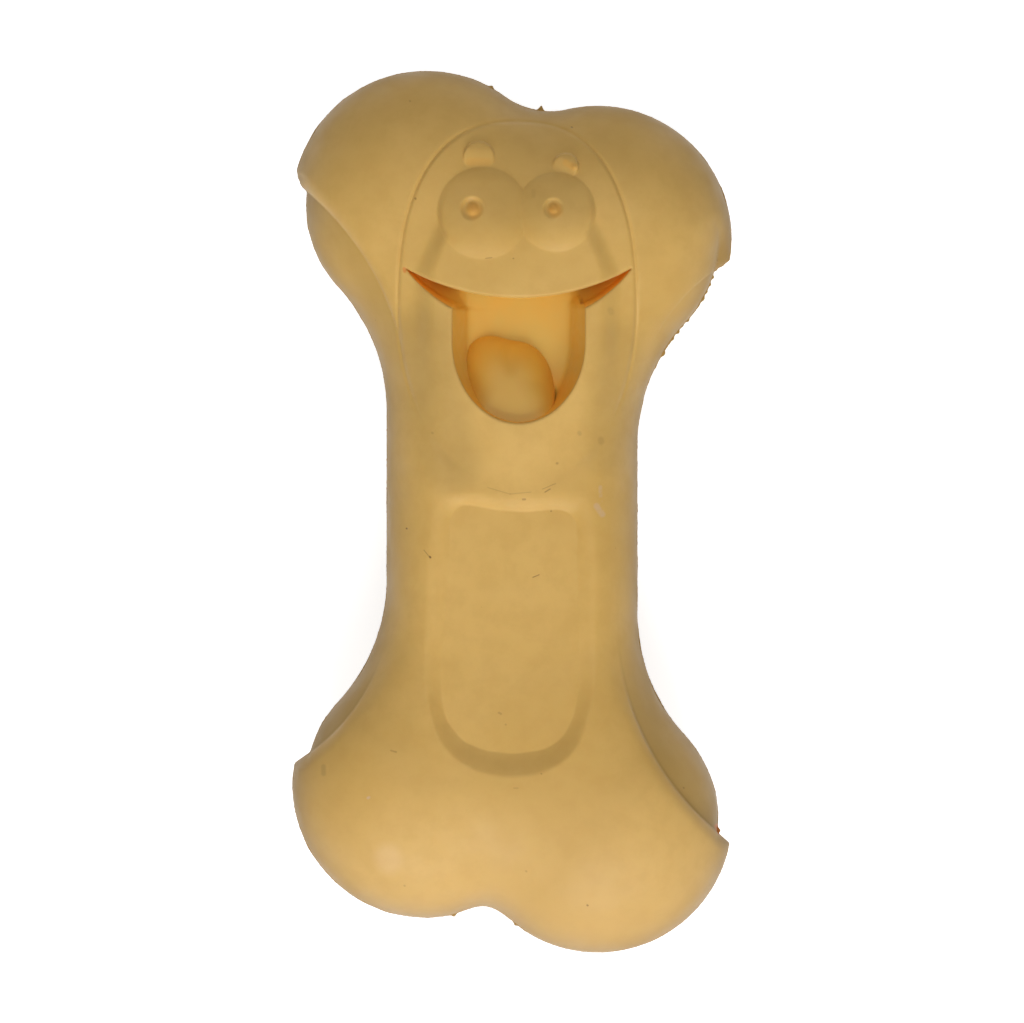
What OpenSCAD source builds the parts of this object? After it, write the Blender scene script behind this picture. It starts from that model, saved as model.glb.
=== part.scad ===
// Hollow rubber chew toy: a bone with a laughing face, moulded as two half shells that are
// bonded at a level parting plane, with a mouth pocket, a tongue and a squeaker inside.
// X runs across the bone, Y along it with the face towards +Y, and Z up out of the face.
// The origin is under the middle of the bone, on the flat back that it rests on.

/* [Bone outline] */
// Distance from the middle of the bone to the middle of each end
end_reach = 46; // [43:0.5:52]
// Half the distance between the two lobe centres of an end
lobe_spread = 13.9; // [12.5:0.1:15]
// Angle by which each end is canted from square, in degrees
cant = 11.5; // [0:0.5:14]
// Radius of the lobes at the back half, and of the front half under its hoods
lobe_r = 19.1; // [18:0.1:20.5]
// Width of the shaft
shaft_w = 39.8; // [36:0.2:42]
// Radius of the hollow neck between shaft and lobe
neck_r = 29; // [24:0.5:34]
// Radius at the bottom of the notch between two lobes
notch_r = 14.6; // [12:0.2:18]

/* [Depths] */
// Depth of the back shell, from the resting face to the parting plane
back_depth = 17; // [16:0.5:20]
// Height of the shaft's front over the parting plane
shaft_h = 14.6; // [13.5:0.1:16]
// Height of the ends' front over the parting plane, under the hoods
lobe_h = 17.4; // [16.4:0.1:18.4]
// Rise of the shaft's front from its shoulders to the middle line
crown = 0.9; // [0.2:0.1:1.6]
// Width over which the shaft's sides roll into its face
shaft_roll = 9; // [7:0.5:10]
// Width over which the lobes' sides roll into their face
lobe_roll = 19; // [16:0.5:21]
// Thickness of the rubber wall
wall = 4; // [3.4:0.1:4.6]

/* [Hoods] */
// How far the hoods over the lobes stand out past the back shell
hood_step = 2.2; // [1.4:0.1:2.8]
// How much higher the hoods are than the lobes under them
hood_rise = 0.9; // [0.5:0.1:1.4]
// How far the hoods' skin still stands proud where it has run out along the shaft
hood_fade = 0.2; // [0.1:0.05:0.3]
// Radius of the long crease, beside the lobe that reaches out further
long_crease_r = 45.6; // [42:0.2:48]
// Radius of the short crease, beside the other lobe
short_crease_r = 31.5; // [29:0.2:34]
// Distance of the long crease from the middle line, where it comes nearest
long_crease_x = 16.4; // [15:0.1:18]
// Distance of the short crease from the middle line, where it comes nearest
short_crease_x = 18.9; // [17.5:0.1:20]
// Distance along the bone from the middle to the centre of the long crease
long_crease_y = 16.1; // [13:0.1:19]
// Distance along the bone from the middle to the centre of the short crease
short_crease_y = 12.7; // [10:0.1:15]

/* [Face] */
// Sideways shift of the face from the middle line
face_x = 0.8; // [0:0.1:2]
// Distance from the middle of the bone to the middle of the oval face
face_y = 32.4; // [31:0.1:34]
// Half width of the oval face
face_rx = 18.7; // [17:0.1:19.5]
// Half length of the oval face
face_ry = 29.4; // [27:0.1:30]
// How round the oval's upper half is: 1 is an ellipse, less is squarer
oval_round_share = 0.82; // [0.74:0.01:1]
// How far the muzzle stands proud of the face's edge
face_rise = 1; // [0.5:0.1:1.4]
// Width of the level ledge between the groove and the muzzle
ledge_w = 1.5; // [1:0.1:2]
// Width of the muzzle's sloped sides
muzzle_slope = 4.2; // [3:0.1:5]
// Height of the muzzle's sloped sides
muzzle_h = 4.4; // [3.6:0.1:5]
// Width of the groove around the oval
groove_w = 1; // [0.6:0.1:1.4]
// Depth of the groove around the oval
groove_d = 0.5; // [0.2:0.1:0.8]
// Radius of the left eye mound
left_eye_r = 7.3; // [6.4:0.1:7.8]
// Radius of the right eye mound
right_eye_r = 6.3; // [5.6:0.1:6.8]
// Distance between the centres of the eye mounds
eye_gap = 11.6; // [10.5:0.1:12.5]
// Distance from the middle of the bone to the eyes
eye_y = 47.4; // [46.6:0.1:48]
// Height of the eye mounds over the face
eye_rise = 1.4; // [1:0.1:2]
// Radius of the dimple round each pupil
pupil_r = 1.8; // [1.3:0.1:2.2]
// Length of the brows
brow_l = 4.6; // [3.6:0.1:5.4]
// Width of the brows
brow_w = 1.5; // [1:0.1:2]
// Distance from the eyes up to the brows
brow_y = 9.6; // [9:0.1:10.4]
// Height of the brows over the face
brow_rise = 0.6; // [0.3:0.1:1]
// Tilt of the right brow, in degrees
brow_tilt = -20; // [-30:1:0]

/* [Mouth] */
// Distance from the middle of the bone to the middle of the upper lip
lip_y = 34.2; // [33:0.1:35.5]
// Radius of the upper lip
lip_r = 39; // [35:0.5:44]
// Radius of the smile's lower edge
smile_r = 23.1; // [21.5:0.1:24.5]
// Distance from the upper lip down to the lowest point of the smile's lower edge
smile_drop = 4.2; // [3.6:0.1:5]
// Width of the open jaw
jaw_w = 21; // [18:0.2:23]
// Distance from the middle of the bone to the bottom of the jaw
jaw_y = 14.1; // [12.5:0.1:16]
// Length of the rounded bottom of the jaw
jaw_round = 12.9; // [11:0.1:14]
// How far the pocket's sides lean in from the lips to the floor
pocket_draft = 1.9; // [1:0.1:2.2]
// How far its lower end leans in
pocket_end_draft = 0.7; // [0.4:0.1:1.2]
// Height of the mouth's floor over the parting plane
mouth_floor = 8.2; // [7:0.1:9]
// Height of the flat seat behind the lips over the parting plane
cup_seat = 10.4; // [10.2:0.1:11]
// Height of the cup's edge in the mouth over the parting plane
cup_top = 14.2; // [13:0.1:14.6]
// Thickness of the mouth cup's wall and floor
cup_wall = 1.2; // [0.9:0.1:1.5]
// Width of the cup's flange behind the lip
flange_w = 2; // [1.4:0.1:2.4]
// Height of the tongue over the mouth's floor
tongue_h = 5.6; // [4:0.1:6.4]
// Width of the tongue
tongue_w = 14.2; // [12.5:0.1:15.5]
// Length of the tongue from the bottom of the jaw
tongue_l = 13.6; // [12.5:0.1:15]
// Radius of the tongue's tip
tongue_r = 5.4; // [4.6:0.1:6]
// Radius of the two humps at its back
hump_r = 4.6; // [4:0.1:5.2]
// How far the tongue lies to one side, and its one hump behind the other
tongue_shift = 1.3; // [0:0.1:1.8]

/* [Recess] */
// Width of the recess below the chin at its rim
recess_w = 27; // [23:0.2:29]
// Radius of the round end of the recess at its rim
recess_r = 14.4; // [13.5:0.1:15]
// Distance from the middle of the bone to the recess's top edge
recess_top = 2.6; // [1.5:0.1:4]
// Distance from the middle of the bone down to the centre of its round end
recess_drop = 28; // [25:0.1:29]
// Width of the slope around the recess's floor
recess_slope = 3.2; // [2.4:0.1:4]
// Depth of the recess
recess_d = 1.9; // [1:0.1:2.3]
// How much its floor rises towards the foot, as the bone does there
recess_rise = 1.5; // [0.8:0.1:2]

/* [Squeaker] */
// Radius of the squeaker's barrel
barrel_r = 7; // [6:0.1:7.6]
// Length of the squeaker's barrel
barrel_l = 10.5; // [9.5:0.1:12]
// Thickness of the squeaker's walls
barrel_wall = 1.2; // [1:0.1:1.6]
// Radius of the flange that is seen from behind
rim_r = 9.4; // [9:0.1:10.2]
// Thickness of that flange
rim_t = 1.2; // [0.9:0.1:1.4]
// How deep the flange lies below the resting face
rim_sink = 0.7; // [0.4:0.1:0.9]
// Radius of the bore that holds the reed
bore_r = 3.2; // [2.8:0.1:3.6]
// Thickness of the reed
reed_t = 0.3; // [0.2:0.05:0.4]
// Width of the reed
reed_w = 3.6; // [3:0.1:4]

/* [Fits] */
// Gap between pieces that are slid together and bonded
fit = 0.12; // [0.08:0.01:0.2]
// Height of the rib that locates the two shells
rib_h = 2; // [1.4:0.1:2.6]
// Distance from the outside to that rib
rib_in = 1.8; // [1.5:0.1:2]

/* [Hidden] */

// What every cut runs on past the surface that it opens
over = 1;
// Stations along each stretch of the outline
side_n = 3;
neck_n = 5;
lobe_n = 16;
notch_n = 4;
// Rings up the front's roll, the back's and the hollow's
roll_n = 6;
back_n = 6;
cave_n = 4;
// Facets of the small round forms
round_n = 32;

half_n = 2 * (side_n + neck_n + lobe_n) + notch_n;
all_n = 2 * half_n;
spine_n = side_n + neck_n;
half_w = shaft_w / 2;

// Where the lobes, necks and notch of the head end are centred
right_lobe = [lobe_spread * cos(cant), end_reach - lobe_spread * sin(cant)];
left_lobe = [-right_lobe.x, 2 * end_reach - right_lobe.y];
function neck_y(lobe) =
    lobe.y - sqrt(pow(lobe_r + neck_r, 2) - pow(half_w + neck_r - abs(lobe.x), 2));
right_neck = [half_w + neck_r, neck_y(right_lobe)];
left_neck = [-right_neck.x, neck_y(left_lobe)];
notch_reach = sqrt(pow(lobe_r + notch_r, 2) - pow(lobe_spread, 2));
notch = [0, end_reach] + notch_reach * [sin(cant), cos(cant)];

function towards(a, b) = atan2(b.y - a.y, b.x - a.x);
function unit(a) = [cos(a), sin(a)];

// A station is a place on the outline and the direction that points into the rubber there
function bulge(c, r, from, to, n) =
    [for (k = [0:n - 1]) let (u = unit(from + (to - from) * k / n)) [c + r * u, -u]];
function hollow(c, r, from, to, n) =
    [for (k = [0:n - 1]) let (u = unit(from + (to - from) * k / n)) [c + r * u, u]];
function side(x, from, to, n) =
    [for (k = [0:n - 1]) [[x, from + (to - from) * k / n], [-sign(x), 0]]];

// The head half of the outline, anticlockwise from the middle of the right side
head = concat(
    side(half_w, 0, right_neck.y, side_n),
    hollow(right_neck, neck_r, 180, towards(right_neck, right_lobe), neck_n),
    bulge(right_lobe, lobe_r, towards(right_lobe, right_neck), towards(right_lobe, notch), lobe_n),
    hollow(notch, notch_r, towards(notch, right_lobe), towards(notch, left_lobe), notch_n),
    bulge(left_lobe, lobe_r, towards(left_lobe, notch), towards(left_lobe, left_neck) + 360, lobe_n),
    hollow(left_neck, neck_r, towards(left_neck, left_lobe), 0, neck_n),
    side(-half_w, left_neck.y, 0, side_n));
// The foot half is the head half turned round
outline = concat(head, [for (s = head) -s]);

// The middle line that the rings close on, at the stations of the shaft and the necks
spine = [for (m = [-spine_n:spine_n]) let (k = abs(m))
    sign(m) * (head[k][0].y + (k == 0 ? 0 : head[half_n - k][0].y)) / 2];
function spine_at(i) = let (k = i % half_n, turn = i < half_n ? 1 : -1)
    spine_n + turn * min(k, half_n - k, spine_n);

// How far a place lies from the shaft, 0, towards the lobes, 1
function smooth(t) = let (s = max(0, min(1, t))) s * s * (3 - 2 * s);
function lobeness(y) = smooth((abs(y) - right_neck.y) / (end_reach - right_neck.y));
function mixed(a, b, t) = a + (b - a) * t;
function roll(y) = mixed(shaft_roll, lobe_roll, lobeness(y));
function height(y) = mixed(shaft_h, lobe_h, lobeness(y));
function top(y) = mixed(shaft_h + crown, lobe_h, lobeness(y));
// How far in the rings run, which leaves room for the lobes' stalks between notch and neck
stalk_share = 0.65;
function run(y) = mixed(shaft_roll, lobe_r * stalk_share, lobeness(y));
// The share of its full height that a roll has reached at an inset
function rolled(t) = sqrt(1 - pow(1 - min(t, 1), 2));

// One closed ring: every station goes in by inset(y) and up to level(y)
function ring(inset, level) = [for (s = outline)
    let (p = s[0] + s[1] * inset(s[0].y)) [p.x, p.y, level(s[0].y)]];
// One ring between the ring that ends a roll and the middle line, whose places have levels
function inner_ring(outer, levels, share) = [for (i = [0:all_n - 1])
    let (p = outer[i], m = spine_at(i))
    [p.x * (1 - share), mixed(p.y, spine[m], share), mixed(levels[m], p.z, pow(1 - share, 2))]];

// A solid whose skin runs from one middle line over all rings to another
module loft(rings, first_z, last_z) {
    count = len(rings);
    points = concat([for (r = rings, p = r) p],
                    [for (i = [0:2 * spine_n]) [0, spine[i], first_z[i]]],
                    [for (i = [0:2 * spine_n]) [0, spine[i], last_z[i]]]);
    first = count * all_n;
    last = first + 2 * spine_n + 1;
    between = [for (k = [0:count - 2], i = [0:all_n - 1]) let (j = (i + 1) % all_n)
        each [[k * all_n + i, (k + 1) * all_n + i, (k + 1) * all_n + j],
              [k * all_n + i, (k + 1) * all_n + j, k * all_n + j]]];
    top = (count - 1) * all_n;
    caps = [for (i = [0:all_n - 1])
        let (j = (i + 1) % all_n, a = spine_at(i), b = spine_at(j))
        each concat([[j, first + a, i]], a == b ? [] : [[j, first + b, first + a]],
                    [[top + i, last + a, top + j]], a == b ? [] : [[top + j, last + a, last + b]])];
    polyhedron(points, concat(between, caps));
}

function level_line(z) = [for (y = spine) z];

// How far the hood stands out and up at a place
hood_out = function (y) mixed(hood_fade, hood_step, lobeness(y));
hood_up = function (y) mixed(hood_fade, hood_rise, lobeness(y));
none = function (y) 0;

// Ring k of the hollow inside, whose vault rises from one level to a wall short of another
function cave_ring(k, from, to) = let (share = 1 - cos(90 * k / cave_n))
    ring(function (y) wall + (run(y) - wall / 2) * share,
         function (y) from + (to - sign(to - from) * wall - from) * rolled(share));

// The front's outer skin over the parting plane, plain or with the hoods' surplus, whose last ring
// lies a share of the way to the middle line
inner_share = 1 / 3;
module front_dome(out, up) {
    crest = [for (y = spine) top(y) + up(y)];
    skin = [for (k = [0:roll_n]) let (share = 1 - cos(90 * k / roll_n))
        ring(function (y) (run(y) + out(y)) * share - out(y),
             function (y) (height(y) + up(y)) * rolled((run(y) + out(y)) * share / (roll(y) + out(y))))];
    loft(concat(skin, [inner_ring(skin[roll_n], crest, inner_share)]), level_line(0), crest);
}
module core_dome() front_dome(none, none);
module hood_dome() front_dome(hood_out, hood_up);

// The hollow inside the front shell
module front_cave() {
    skin = [for (k = [0:cave_n]) cave_ring(k, 0, shaft_h)];
    loft(skin, level_line(-over), level_line(shaft_h - wall));
}

// The ground that a hood stands on, which the four creases bound
module hood_ground() {
    difference() {
        square([4 * end_reach, 4 * end_reach], center = true);
        for (turn = [0, 180]) rotate(turn) {
            translate([-long_crease_x - long_crease_r, long_crease_y])
                circle(long_crease_r, $fn = 3 * round_n);
            translate([-short_crease_x - short_crease_r, -short_crease_y])
                circle(short_crease_r, $fn = 3 * round_n);
        }
    }
}

module tall() linear_extrude(2 * (lobe_h + hood_rise)) children();

module front_form() {
    core_dome();
    intersection() {
        hood_dome();
        tall() hood_ground();
    }
}

// The oval's outline, whose upper half is squarer
module face_oval(wider = 0) {
    translate([face_x, face_y]) polygon([for (k = [0:2 * round_n - 1])
        let (u = unit(180 * k / round_n), power = u.y > 0 ? oval_round_share : 1)
        [sign(u.x) * pow(abs(u.x), power) * (face_rx + wider),
         sign(u.y) * pow(abs(u.y), power) * (face_ry + wider)]]);
}

// Raises or cuts a flat shape by an even depth all over the domed front
module emboss(rise) {
    intersection() {
        translate([0, 0, rise]) front_form();
        tall() children();
    }
}
module engrave(depth) {
    difference() {
        tall() children();
        translate([0, 0, -depth]) front_form();
    }
}

// The muzzle: the dome raised round the mouth, under sides that slope down to the ledge and that
// climb with the dome from the chin to the eyes
chin_y = face_y - face_ry + ledge_w;
muzzle_ry = (eye_y - chin_y) / 2;
muzzle_rx = face_rx - ledge_w - muzzle_slope;
module muzzle_slab(out, z) {
    translate([0, 0, z]) linear_extrude(fit) translate([face_x, muzzle_ry])
        scale([muzzle_rx + out, muzzle_ry + out]) circle(1, $fn = 2 * round_n);
}
module muzzle() {
    climb = lobe_h + hood_rise - shaft_h - crown;
    intersection() {
        translate([0, 0, face_rise]) front_form();
        translate([0, chin_y, shaft_h + crown + hood_fade + face_rise])
            rotate([atan(climb / (2 * muzzle_ry)), 0, 0]) hull() {
                muzzle_slab(0, 0);
                muzzle_slab(muzzle_slope, -muzzle_h);
            }
    }
}

module mouth_shape() {
    difference() {
        union() {
            translate([face_x, lip_y - smile_drop + smile_r]) circle(smile_r, $fn = 2 * round_n);
            translate([face_x, jaw_y + jaw_round]) {
                scale([jaw_w / 2, jaw_round]) circle(1, $fn = round_n);
                translate([-jaw_w / 2, 0]) square([jaw_w, lip_y - jaw_y - jaw_round]);
            }
        }
        translate([face_x, lip_y + lip_r]) circle(lip_r, $fn = 3 * round_n);
    }
}

// Where the eye mounds are centred, a little under the face
eye_base = lobe_h;
left_eye = [face_x - eye_gap / 2 + (left_eye_r - right_eye_r) / 2, eye_y];
right_eye = left_eye + [eye_gap, 0];
module eye_mound(place, r) {
    translate([place.x, place.y, eye_base])
        scale([r, r, eye_rise + hood_rise]) sphere(1, $fn = round_n);
}
// The bump that is left in each dimple, as shares of the dimple's radius
bump_w_share = 1 / 2;
bump_h_share = 3 / 4;
module pupil(place, r) {
    translate([place.x, place.y, eye_base + eye_rise + hood_rise]) {
        difference() {
            sphere(r, $fn = round_n / 2);
            translate([0, 0, -r]) scale(r * [bump_w_share, bump_w_share, bump_h_share])
                sphere(1, $fn = round_n / 2);
        }
    }
}

// A brow is a short bent bar with round ends
brow_n = 4;
brow_bend = 50;
module brow_shape(place, tilt) {
    reach = brow_l / (2 * sin(brow_bend));
    translate(place) rotate(tilt) {
        for (k = [0:brow_n - 1]) {
            hull() {
                for (a = [k, k + 1]) let (turn = 90 + brow_bend * (1 - 2 * a / brow_n))
                    translate(reach * (unit(turn) - unit(90))) circle(brow_w / 2, $fn = round_n / 2);
            }
        }
    }
}

// The recess at a number of slopes out from its rim, which lies as many depths up
module recess_slab(out) {
    grow = out * recess_slope;
    translate([0, 0, out * recess_d]) linear_extrude(fit) hull() {
        translate([0, -recess_top - recess_drop]) circle(recess_r + grow, $fn = 2 * round_n);
        for (side = [-1, 1]) {
            translate([side * (recess_w / 2 + grow - recess_slope / 2), grow - recess_slope / 2])
                circle(recess_slope / 2, $fn = round_n);
        }
    }
}
module recess_cutter() {
    translate([0, recess_top, shaft_h + crown / 2]) rotate([-atan(recess_rise / recess_drop), 0, 0])
        hull() {
            recess_slab(-1);
            recess_slab(2);
        }
}

// A flat sheet with the bone's outline, drawn in by an even distance
module bone_flat(inset) {
    polygon([for (s = outline) s[0] + s[1] * inset]);
}

module front_shell() {
    color("burlywood") translate([0, 0, back_depth]) difference() {
        union() {
            difference() {
                union() {
                    front_form();
                    muzzle();
                }
                engrave(groove_d) difference() {
                    face_oval(groove_w / 2);
                    face_oval(-groove_w / 2);
                }
                recess_cutter();
            }
            eye_mound(left_eye, left_eye_r);
            eye_mound(right_eye, right_eye_r);
            emboss(brow_rise) {
                brow_shape([left_eye.x, eye_y + brow_y], 0);
                brow_shape([right_eye.x + brow_w, eye_y + brow_y - brow_w], brow_tilt);
            }
        }
        pupil([left_eye.x - pupil_r, eye_y], pupil_r);
        pupil([right_eye.x - pupil_r / 2, eye_y], pupil_r);
        difference() {
            front_cave();
            translate([0, 0, cup_seat]) tall() cup_flange(cup_wall);
        }
        linear_extrude(rib_h + fit) bone_flat(rib_in);
        // The way in for the cup from behind, up to its seat, and the mouth over it
        translate([0, 0, -over]) linear_extrude(cup_seat + over) cup_flange(fit);
        tall() mouth_shape();
    }
}

module back_shell() {
    // Rings from the resting face up the outside, over the rib and down the inside
    outside = [for (k = [0:back_n]) let (share = 1 - cos(90 * (1 - k / back_n)))
        ring(function (y) run(y) * share, function (y) back_depth * (1 - rolled(share)))];
    rib = [for (p = [[rib_in + fit, 0], [rib_in + fit, rib_h], [wall, rib_h]])
        ring(function (y) p[0], function (y) back_depth + p[1])];
    inside = [for (k = [1:cave_n]) cave_ring(k, back_depth, 0)];
    color("burlywood") difference() {
        loft(concat(outside, rib, inside), level_line(0), level_line(wall));
        translate([0, 0, -over]) {
            cylinder(h = wall + 2 * over, r = barrel_r + fit, $fn = 2 * round_n);
            cylinder(h = over + rim_sink + rim_t, r = rim_r + fit, $fn = 2 * round_n);
        }
    }
}

// The amber cup behind the mouth: its edge sits in the lip, its flange on a flat seat in the shell
module cup_flange(wider) {
    offset(r = flange_w + wider, $fn = round_n) mouth_shape();
}
// The room in the cup, whose sides lean in all round but under the upper lip
pocket_w = jaw_w - 2 * (fit + cup_wall);
pocket_l = lip_y - jaw_y - 2 * (fit + cup_wall);
draft_share = [1 - 2 * pocket_draft / pocket_w, 1 - pocket_end_draft / pocket_l];
module pocket(gap = 0) {
    inset = fit + cup_wall + gap;
    translate([face_x, lip_y - inset, cup_top]) mirror([0, 0, 1])
        linear_extrude(cup_top - mouth_floor, scale = draft_share)
            translate([-face_x, inset - lip_y]) offset(delta = -inset) mouth_shape();
    translate([0, 0, cup_top]) tall() offset(delta = -inset) mouth_shape();
}
module mouth_cup() {
    color("darkorange") translate([0, 0, back_depth]) difference() {
        union() {
            translate([0, 0, mouth_floor - cup_wall]) linear_extrude(cup_top - mouth_floor + cup_wall)
                offset(delta = -fit) mouth_shape();
            translate([0, 0, cup_seat - fit - cup_wall]) linear_extrude(cup_wall) cup_flange(0);
        }
        pocket();
    }
}

// Two humps at the back that run together at the tip, each a chain of flattened balls
tongue_n = 4;
hump_share = 0.8;
tongue_x = face_x - tongue_shift;
tongue_tip = [tongue_x, jaw_y + cup_wall + tongue_r, tongue_h, tongue_r];
hump_x = tongue_w / 2 - hump_r;
tongue_humps = [[tongue_x - hump_x, jaw_y + tongue_l - hump_r, tongue_h * hump_share, hump_r],
                [tongue_x + hump_x, jaw_y + tongue_l - hump_r - tongue_shift, tongue_h * hump_share, hump_r]];
module tongue_ball(p) {
    translate([p.x, p.y, 0]) scale([1, 1, p.z / p[3]]) sphere(p[3], $fn = round_n);
}
module tongue() {
    color("sandybrown") translate([0, 0, back_depth]) intersection() {
        translate([0, 0, mouth_floor + fit]) {
            for (h = tongue_humps, k = [0:tongue_n - 1]) {
                hull() {
                    tongue_ball(mixed(tongue_tip, h, k / tongue_n));
                    tongue_ball(mixed(tongue_tip, h, (k + 1) / tongue_n));
                }
            }
        }
        translate([0, 0, fit]) pocket(fit);
    }
}

// The moulded squeaker: a flanged barrel with a closed crown, bored for the reed's two halves
snap = barrel_wall / 2;
module squeaker_body() {
    seat = wall + fit;
    color("whitesmoke") difference() {
        rotate_extrude($fn = 2 * round_n) polygon([
            [0, rim_sink], [rim_r, rim_sink], [rim_r, rim_sink + rim_t],
            [barrel_r, rim_sink + rim_t], [barrel_r, seat], [barrel_r + snap, seat],
            [barrel_r + snap, seat + snap], [barrel_r, seat + 3 * snap],
            [barrel_r, barrel_l], [0, barrel_l]]);
        translate([0, 0, -over]) cylinder(h = barrel_l + 2 * over, r = bore_r, $fn = 2 * round_n);
        difference() {
            translate([0, 0, rim_sink + 2 * rim_t])
                cylinder(h = barrel_l, r = barrel_r - barrel_wall, $fn = 2 * round_n);
            cylinder(h = barrel_l, r = bore_r + barrel_wall, $fn = 2 * round_n);
        }
    }
}

// The reed lies between two half-round plugs that fill the bore
plug_l = barrel_l - rim_sink - rim_t;
module half_plug(turn) {
    rotate([0, 0, turn]) intersection() {
        cylinder(h = plug_l, r = bore_r - fit / 2, $fn = 2 * round_n);
        translate([reed_t / 2, -bore_r, 0]) cube([bore_r, 2 * bore_r, plug_l]);
    }
}
plug_z = rim_sink + rim_t;
// The air channel in the seat and the room for the reed's swing in the clamp, as shares of the
// reed's width, of the bore's radius and of the plugs' length
channel_w_share = 1 / 2;
channel_d_share = 1 / 2;
channel_l_share = 3 / 4;
module reed_seat() {
    channel_w = reed_w * channel_w_share;
    color("gainsboro") translate([0, 0, plug_z]) difference() {
        half_plug(0);
        translate([0, -channel_w / 2, -over])
            cube([bore_r * channel_d_share, channel_w, plug_l * channel_l_share + over]);
    }
}
module reed_clamp() {
    color("gainsboro") translate([0, 0, plug_z]) difference() {
        half_plug(180);
        translate([-bore_r * channel_d_share, -reed_w / 2, plug_l * (1 - channel_l_share)])
            cube([bore_r * channel_d_share, reed_w, plug_l]);
    }
}
module squeaker_reed() {
    color("silver") translate([-reed_t / 2, -reed_w / 2, plug_z]) cube([reed_t, reed_w, plug_l]);
}

front_shell();
back_shell();
mouth_cup();
tongue();
squeaker_body();
reed_seat();
squeaker_reed();
reed_clamp();
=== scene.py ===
"""The looks of the hollow rubber chew toy: its moulded shells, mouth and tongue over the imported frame."""

import bpy
import numpy as np
from mathutils.geometry import delaunay_2d_cdt
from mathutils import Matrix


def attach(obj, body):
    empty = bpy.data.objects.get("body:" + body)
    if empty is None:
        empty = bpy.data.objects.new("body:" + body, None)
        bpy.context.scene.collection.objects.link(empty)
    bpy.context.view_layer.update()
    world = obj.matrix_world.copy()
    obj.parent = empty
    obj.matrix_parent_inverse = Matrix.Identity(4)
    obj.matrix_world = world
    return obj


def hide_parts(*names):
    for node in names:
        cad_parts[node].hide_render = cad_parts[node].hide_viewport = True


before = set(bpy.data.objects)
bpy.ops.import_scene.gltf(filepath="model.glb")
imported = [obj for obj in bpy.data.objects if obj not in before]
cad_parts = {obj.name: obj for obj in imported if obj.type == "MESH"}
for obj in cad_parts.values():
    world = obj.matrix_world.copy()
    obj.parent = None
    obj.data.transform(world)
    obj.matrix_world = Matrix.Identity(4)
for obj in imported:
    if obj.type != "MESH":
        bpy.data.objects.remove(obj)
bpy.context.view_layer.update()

# Places in the photograph are pixels, and everything else is in millimetres until a mesh is made
MM = 0.001
PIXEL = 0.1591
MIDDLE_U, MIDDLE_V = 512.05, 511.7
PHOTO_W, PHOTO_H = 1024, 1023

# The bone's outline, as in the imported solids
END_REACH, LOBE_SPREAD, CANT = 46, 13.9, 11.5
LOBE_R, NECK_R, NOTCH_R, HALF_W = 19.1, 29, 14.6, 19.9
# Depths and rolls
BACK_DEPTH, SHAFT_H, LOBE_H, CROWN = 17, 14.6, 17.4, 0.9
SHAFT_ROLL, LOBE_ROLL, BACK_ROLL_SHARE = 9, 19, 0.65
# Hoods, and the crease circles that bound them, as their places and radii
HOOD_STEP, HOOD_RISE = 2.2, 0.9
# How far the hoods' line lies inside the plain one along the shaft, where they have run out
HOOD_SINK = HOOD_STEP / 6
CREASES = [(-62.0, 16.1, 45.6), (-50.4, -12.7, 31.5), (62.0, -16.1, 45.6), (50.4, 12.7, 31.5)]
CREASE_DEPTHS = [1, 1, 1, 0.3]
# A hood that stands out by less than this leaves the rim as it is
HOOD_LEAST = 0.2
# How the dome's section rolls over, where 2 would be a quarter of an ellipse
ROLL_POWER = 2.15
# A crease's round step: its run, what the lobes add to that, and the share of it that stands upright
STEP_RUN, STEP_RUN_LOBES, STEP_UPRIGHT = 0.45, 1.5, 0.3
# Face, whose oval is a little squarer in its upper half
FACE_X, FACE_Y, FACE_RX, FACE_RY, FACE_ROUND = 0.8, 32.4, 18.9, 29.5, 0.82
# The line round the oval, and the low wide trough that it runs in beside the shaft
GROOVE_D, GROOVE_W, TROUGH_D, TROUGH_W, TROUGH_IN = 0.26, 0.3, 0.22, 1.1, 0.3
# How far the oval stands over the lobes round it
SHELF_RISE = 0.1
# The muzzle's rise, where its slope starts inside the oval and how wide it is, at its sides and chin
MUZZLE_RISE, MUZZLE_START, MUZZLE_WIDTH = 1.5, (2.3, 0.3), (3.7, 10.8)
# From where on up the face the slope leans in, and the muzzle fades out
LEAN_Y, LEAN, MUZZLE_TOP, MUZZLE_FADE = 38, 0.3, 41, 11
# Mouth
MOUTH_X, LIP_Y, LIP_R, SMILE_R, SMILE_DROP = 1.05, 33.9, 36.6, 22.4, 4.2
JAW_W, JAW_Y, JAW_ROUND = 21, 14.1, 12.9
# About the radius of the jaw's bowl, which sets how many places its line has
BOWL_R = 11.5
LIP_FILLET, POCKET_FLOOR, POCKET_DRAFT = 0.5, 25.35, 2.3
POCKET_ROUND = 1.4
# The wings of the smile, which slope up from the pocket's floor to their corners
CORNER_DEPTH, WING_REACH = 1.0, 17.8
# Recess, which deepens by a share of the dome's rise towards the foot
RECESS_D, RECESS_SHARE = 1.0, 0.3
# From where on up the recess its rim turns soft, and over which run
RECESS_SOFT_Y, RECESS_SOFT_RUN = -9, 8
# Squeaker hole
HOLE_R, HOLE_DEPTH, HOLE_FILLET = 9.52, 1.9, 0.35

# The camera's height in metres, the floor's width, the light of the room, and where the lamps point
CAMERA_HEIGHT, FLOOR_W, ROOM_LIGHT = 5.0, 1800, 0.22
LAMP_AIM = (0, 0, 20 * MM)

# Distances between the places that a skin or a line is made of
FINE, MEDIUM, COARSE, LINE_STEP = 0.22, 0.32, 0.5, 0.12
# A place in a row is dropped where its line comes nearer to it than this share of the row's offset
ROW_KEEP = 0.9
# How many places are handled at a time, which bounds the memory that it takes
BATCH = 2000
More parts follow.
